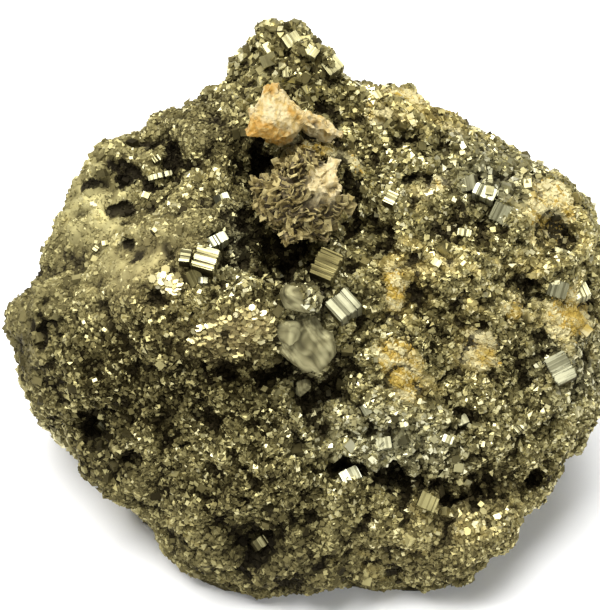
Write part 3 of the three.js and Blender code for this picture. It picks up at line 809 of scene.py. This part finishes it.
chance = random.Random(2)
shape = bmesh.new()
for across, up, size, turns, lift in CLUSTER:
    corners = [Vector([chance.gauss(0, 1) for _ in range(3)]).normalized() for _ in range(18)]
    corners = [[0.5 * side * reach for side, reach in zip(size, corner)] for corner in corners]
    add_hull(shape, corners, seat(across, up, lift - size[2] * 0.26, turns))
cluster = remeshed(plain_mesh("greygreen_cluster", shape), CLUSTER_VOXEL)
places = relaxed(cluster.data, 10)
normals = np.zeros(places.size)
cluster.data.vertex_normals.foreach_get("vector", normals)
normals = normals.reshape(-1, 3)
swept = to_face(places)
swept = swept + 2.0 * np.array([noise.noise_vector(Vector(p) / 3.4) for p in swept])
groove = np.abs(np.sin((0.8 * swept[:, 0] + 0.5 * swept[:, 1] + 0.4 * swept[:, 2]) * math.pi / GROOVE_SPACING))
places -= normals * (GROOVE_DEPTH * MM * (1 - groove) ** 2)[:, None]
cluster.data.vertices.foreach_set("co", places.ravel())
mottle = np.array([noise.noise(Vector(p) / 1.1) for p in swept])
set_attribute(cluster.data, "silver", np.full(len(places), 0.4))
# Tone drops into the grooves: painted shade in them, over a mottle of the crystal's own tone.
set_attribute(cluster.data, "tone", 0.26 + 0.16 * groove + 0.65 * mottle)
set_attribute(cluster.data, "dull", np.full(len(places), 0.9))
set_attribute(cluster.data, "hollow", np.clip(hollowness(cluster.data, 40) * 1.2, 0, 1))
delivered(cluster, pyrite_finish("pyrite_cluster", True, 0.08))

# ---- the calcite spur -------------------------------------------------------------------------
# A jagged wedge of cream calcite with an orange skin low on its left, and a broken ridge of the
# same that runs on to the right. It is seated in a hollow near the peak.
WEDGE_AT = (-4.2, 27.6, 1.2)
WEDGE = (
    (0.1, 4.3, 0.3), (1.1, 3.6, 0.0), (-3.9, -2.5, -0.6), (-3.6, -3.5, 0.8), (1.0, -4.2, 0.4), (5.4, 0.2, 0.2),
    (1.2, -0.8, 2.2), (-0.7, 2.8, 1.3), (0.0, 0.0, -3.0), (3.8, -2.8, 0.4), (-2.6, 0.8, 0.9), (-1.2, -2.6, 1.9),
)
SHARDS = (  # across, up, (width, length, height), turns, lift
    (-4.4, 29.8, (3.0, 5.6, 3.2), (-8, 0, -10), 0.4), (-2.4, 28.2, (2.6, 4.8, 3.0), (-14, 10, 35), 0.5),
    (-5.8, 26.8, (3.6, 4.2, 3.0), (0, -10, 15), 0.3), (-3.2, 25.8, (3.6, 3.2, 3.0), (10, 0, 60), 0.3),
    (-1.0, 26.6, (2.2, 3.4, 2.4), (-10, 12, 50), 0.3), (1.4, 26.4, (3.4, 2.0, 2.4), (-16, 0, -20), 0.5),
    (3.6, 25.6, (3.2, 1.8, 2.2), (-10, 8, -28), 0.4), (5.4, 25.0, (2.4, 1.6, 1.8), (-10, 0, -14), 0.4),
)
SPUR_VOXEL = 0.17 * MM


def cad_landing(node):
    return BVHTree.FromObject(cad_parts[node], bpy.context.evaluated_depsgraph_get())


def roughened(mesh, steps):
    """Pushes vertices in and out along their normals by noise: (scale, height) in millimetres."""
    places, normals = coordinates(mesh), np.zeros(len(mesh.vertices) * 3)
    mesh.vertex_normals.foreach_get("vector", normals)
    push = np.zeros(len(places))
    for scale, height in steps:
        push += height * np.array([noise.cell(Vector(p) / (scale * MM) + 0.7 * noise.noise_vector(
            Vector(p) / (scale * MM))) - 0.5 for p in places])
    places += normals.reshape(-1, 3) * push[:, None] * MM
    mesh.vertices.foreach_set("co", places.ravel())


chance = random.Random(12)
spur_landing = cad_landing("calcite_spur")
spur = welded_copy("calcite_wedge", "calcite_spur")
shape = bmesh.new()
shape.from_mesh(spur.data)
bmesh.ops.scale(shape, verts=shape.verts, vec=(0.86,) * 3, space=Matrix.Translation(
    -sum((corner.co for corner in shape.verts), Vector()) / len(shape.verts)))
add_hull(shape, WEDGE, seat(*WEDGE_AT, on=spur_landing, spread=1))
for across, up, size, turns, lift in SHARDS:
    if spur_landing.ray_cast(Vector(from_face([[across, up, 60]])[0]), -outward)[0] is None:
        continue
    corners = [[chance.choice((-0.5, 0.5)) * side * chance.uniform(0.6, 1.0) for side in size] for _ in range(16)]
    add_hull(shape, corners, seat(across, up, lift - size[2] * 0.3, turns, spur_landing, 1))
shape.to_mesh(spur.data)
shape.free()
remeshed(spur, SPUR_VOXEL)
roughened(spur.data, ((1.6, 0.22), (0.6, 0.14)))
spur.data.vertices.foreach_set("co", relaxed(spur.data, 2).ravel())
face = to_face(coordinates(spur.data))
set_attribute(spur.data, "hollow", np.clip(hollowness(spur.data, 40) * 1.4, 0, 1))
set_attribute(spur.data, "stain", patches(ragged(face, 0.8, 1.4), (
    (-7.0, 25.2, 2.4, 2.2, 0, 1.1), (-4.0, 24.2, 3.6, 1.2, 0, 0.9), (-4.2, 31.2, 1.2, 1.4, 0, 0.9),
    (2.0, 26.6, 3.0, 0.7, -20, 0.5), (-1.0, 27.6, 0.8, 2.4, 30, 0.6))))


def stony_finish(name, pale, mid, skin, roughness):
    """A dull mineral: two body colours in streaks, a stained skin, and painted shade darkening the hollows."""
    f = Finish(name)
    place = f.node("TexCoord", output="Object")
    drawn = f.node("Mapping", sockets={"Vector": place, "Rotation": (0.5, 0.2, 0.5), "Scale": (3.0, 0.6, 1.0)})
    streak = f.node("TexNoise", sockets={"Vector": drawn, "Scale": 420.0, "Detail": 3.0}, output="Fac")
    speck = f.node("TexNoise", sockets={"Vector": place, "Scale": 1600.0, "Detail": 3.0}, output="Fac")
    body = f.blend((streak * 0.6 + speck * 0.4).between(0.36, 0.62), mid, pale)
    stain = (f.attribute("stain") + (streak - 0.5) * 0.9).between(0.25, 0.75)
    stained = f.blend(stain * 0.9, body, f.blend(speck.between(0.45, 0.7), skin, mid))
    bump = f.node("Bump", sockets={"Strength": 0.5, "Distance": 0.12 * MM, "Height": speck})
    # Hollows blend towards near black: painted shade.
    painted_shade = f.attribute("hollow").between(0.12, 0.6)
    return f.surface({"Base Color": f.blend(painted_shade * 0.85, stained, (0.035, 0.025, 0.012, 1)),
                      "Roughness": roughness, "Specular IOR Level": 0.15, "Normal": bump})


delivered(spur, stony_finish("calcite_cream", (0.50, 0.425, 0.24, 1), (0.40, 0.28, 0.09, 1),
                                        (0.33, 0.17, 0.02, 1), 0.5), "calcite_spur")

# ---- the bladed knob --------------------------------------------------------------------------
# A tan crust of gangue on a rounded core: hundreds of thin curled blades that stand on edge with
# dark gaps between them, where the core below is painted near black as shade, and a paler lump of
# calcite caught in its right side.
KNOB_VOXEL = 0.26 * MM
PALE_LUMP = ((3.6, 17.0, (5.2, 5.6, 4.6), (-10, 6, 24), 0.0), (4.4, 19.6, (3.0, 4.2, 3.0), (-12, 0, -20), 0.0))
knob = welded_copy("knob_core", "gangue_knob")
knob_landing = cad_landing("gangue_knob")
shape = bmesh.new()
shape.from_mesh(knob.data)
bmesh.ops.scale(shape, verts=shape.verts, vec=(0.88,) * 3, space=Matrix.Translation(
    -sum((corner.co for corner in shape.verts), Vector()) / len(shape.verts)))
for across, up, size, turns, lift in PALE_LUMP:
    corners = [[chance.uniform(-0.5, 0.5) * side for side in size] for _ in range(26)]
    add_hull(shape, corners, seat(across, up, lift - size[2] * 0.3, turns, knob_landing, 1))
shape.to_mesh(knob.data)
shape.free()
remeshed(knob, KNOB_VOXEL)
roughened(knob.data, ((2.2, 0.7), (0.9, 0.35)))
knob.data.vertices.foreach_set("co", relaxed(knob.data, 1).ravel())
face = to_face(coordinates(knob.data))
pale = np.clip(patches(ragged(face, 0.6, 1.2), ((3.5, 17.2, 2.6, 3.0, 20, 1.5), (4.8, 20.2, 1.2, 2.2, -20, 1.2))), 0, 1)
set_attribute(knob.data, "pale", pale)
# Outside the pale lump the core is painted near black: painted shade in the gaps between the blades, on top of the
# painted shade of its hollows.
set_attribute(knob.data, "hollow", np.clip(hollowness(knob.data, 40) * 0.8 + 0.7 * (1 - pale), 0, 1))
# Here the stain picks the core's near-black skin: painted shade, not a stain.
set_attribute(knob.data, "stain", np.clip(1.1 - 1.3 * pale, 0, 1))
blades = Growth("knob_blades", Spacing=0.70 * MM, MostPerArea=4.0e6, Size=1.35 * MM, Seed=3,
                BladeFinish=stony_finish("gangue_blades", (0.50, 0.42, 0.19, 1), (0.29, 0.225, 0.08, 1),
                                         (0.07, 0.048, 0.012, 1), 0.65))
pale = blades.node("InputNamedAttribute", {"data_type": "FLOAT"}, {"Name": "pale"})
seats = blades.node("DistributePointsOnFaces", {"distribute_method": "POISSON"}, {
    "Mesh": blades.given(), "Distance Min": blades.given("Spacing"), "Density Max": blades.given("MostPerArea"),
    "Density Factor": 1.0 - pale.between(0.3, 0.7), "Seed": blades.given("Seed")})
normal = Wire(blades, seats.socket.node.outputs["Normal"])
patch = blades.node("TexVoronoi", sockets={"Vector": blades.node("InputPosition"), "Scale": 1 / (2.4 * MM)},
                    output="Color")
lean = blades.node("VectorMath", {"operation": "MULTIPLY_ADD"}, {0: patch, 1: (1.5,) * 3, 2: (-0.75,) * 3})
pointing = blades.node("VectorMath", {"operation": "ADD"}, {
    0: blades.node("VectorMath", {"operation": "ADD"}, {0: normal, 1: lean}),
    1: blades.chance("FLOAT_VECTOR", (-0.3,) * 3, (0.3,) * 3, 2)})
spin = blades.node("CombineXYZ", sockets={
    "Z": blades.node("SeparateXYZ", sockets={0: patch}) * 9.0 + blades.chance("FLOAT", -0.35, 0.35, 3)})
stood = blades.node("AlignRotationToVector", {"axis": "Z"}, {
    "Rotation": blades.node("EulerToRotation", sockets={0: spin}), "Vector": pointing})
arc = blades.node("CurveArc", sockets={"Resolution": 5, "Radius": 0.9, "Sweep Angle": math.radians(64)})
section = blades.node("CurvePrimitiveQuadrilateral", sockets={"Width": 0.12, "Height": 0.9})
blade = blades.node("CurveToMesh", sockets={"Curve": arc, "Profile Curve": section, "Fill Caps": True})
blade = blades.node("Transform", sockets={"Geometry": blade, "Translation": (-0.75, -0.45, 0.1)})
crystals = blades.node("InstanceOnPoints", sockets={
    "Points": seats, "Instance": blade, "Rotation": stood,
    "Scale": blades.scaled(blades.chance("FLOAT_VECTOR", (0.35, 0.5, 0.3), (1.6, 1.6, 1.15), 4), blades.given("Size"))})
cleared = blades.node("StoreNamedAttribute", {"data_type": "FLOAT", "domain": "INSTANCE"}, {
    "Geometry": crystals, "Name": "hollow", "Value": blades.chance("FLOAT", 0.0, 0.3, 8)})
stained = blades.node("StoreNamedAttribute", {"data_type": "FLOAT", "domain": "INSTANCE"}, {
    "Geometry": cleared, "Name": "stain", "Value": blades.chance("FLOAT", 0.0, 1.0, 9)})
real = blades.node("RealizeInstances", sockets={"Geometry": stained})
flat = blades.node("SetShadeSmooth", sockets={"Geometry": real, "Shade Smooth": False})
blades.result(blades.node("SetMaterial", sockets={"Geometry": flat, "Material": blades.given("BladeFinish")}))
delivered(blades.grow(placed("knob_blades", knob.data.copy())))
# The core's skin colour is near black: painted shade under the blades.
delivered(knob, stony_finish("gangue_core", (0.53, 0.455, 0.26, 1), (0.42, 0.325, 0.14, 1),
                                       (0.03, 0.022, 0.009, 1), 0.6), "gangue_knob")

# ---- the crumbs of stained calcite ------------------------------------------------------------
# Cream and orange grains, a third to two thirds of a millimetre across, that crust the druse in
# patches over the right side and below the peak.
crumbs = Growth("calcite_crumbs", CrumbsPerArea=6.0e6, Size=0.56 * MM, Seed=2,
                CrumbFinish=stony_finish("calcite_crumbs", (0.58, 0.52, 0.29, 1), (0.46, 0.36, 0.12, 1),
                                         (0.36, 0.225, 0.025, 1), 0.6))
stain = crumbs.node("InputNamedAttribute", {"data_type": "FLOAT"}, {"Name": "stain"})
clump = crumbs.node("TexNoise", sockets={"Scale": 700.0, "Detail": 2.0}, output="Fac")
tint = crumbs.node("TexNoise", sockets={"Scale": 420.0, "Detail": 1.0}, output="Fac").between(0.42, 0.58)
share = (stain + (clump - 0.5) * 0.9).between(0.40, 0.80)
seats = crumbs.node("DistributePointsOnFaces", sockets={
    "Mesh": crumbs.given(), "Density": share * crumbs.given("CrumbsPerArea"), "Seed": crumbs.given("Seed")})
grit = crumbs.node("MeshIcoSphere", sockets={"Radius": 0.6, "Subdivisions": 1})
crystals = crumbs.node("InstanceOnPoints", sockets={
    "Points": seats, "Instance": grit,
    "Rotation": crumbs.node("EulerToRotation", sockets={
        0: crumbs.chance("FLOAT_VECTOR", (-math.pi,) * 3, (math.pi,) * 3, 3)}),
    "Scale": crumbs.scaled(crumbs.chance("FLOAT_VECTOR", (0.5, 0.7, 0.4), (1.5, 1.2, 1.0), 4), crumbs.given("Size"))})
cleared = crumbs.node("StoreNamedAttribute", {"data_type": "FLOAT", "domain": "INSTANCE"}, {
    "Geometry": crystals, "Name": "hollow", "Value": 0.0})
stained = crumbs.node("StoreNamedAttribute", {"data_type": "FLOAT", "domain": "INSTANCE"}, {
    "Geometry": cleared, "Name": "stain", "Value": crumbs.chance("FLOAT", -0.1, 0.25, 9) + tint * 0.8})
real = crumbs.node("RealizeInstances", sockets={"Geometry": stained})
flat = crumbs.node("SetShadeSmooth", sockets={"Geometry": real, "Shade Smooth": False})
crumbs.result(crumbs.node("SetMaterial", sockets={"Geometry": flat, "Material": crumbs.given("CrumbFinish")}))
delivered(crumbs.grow(placed("calcite_crumbs", ground.data.copy())))
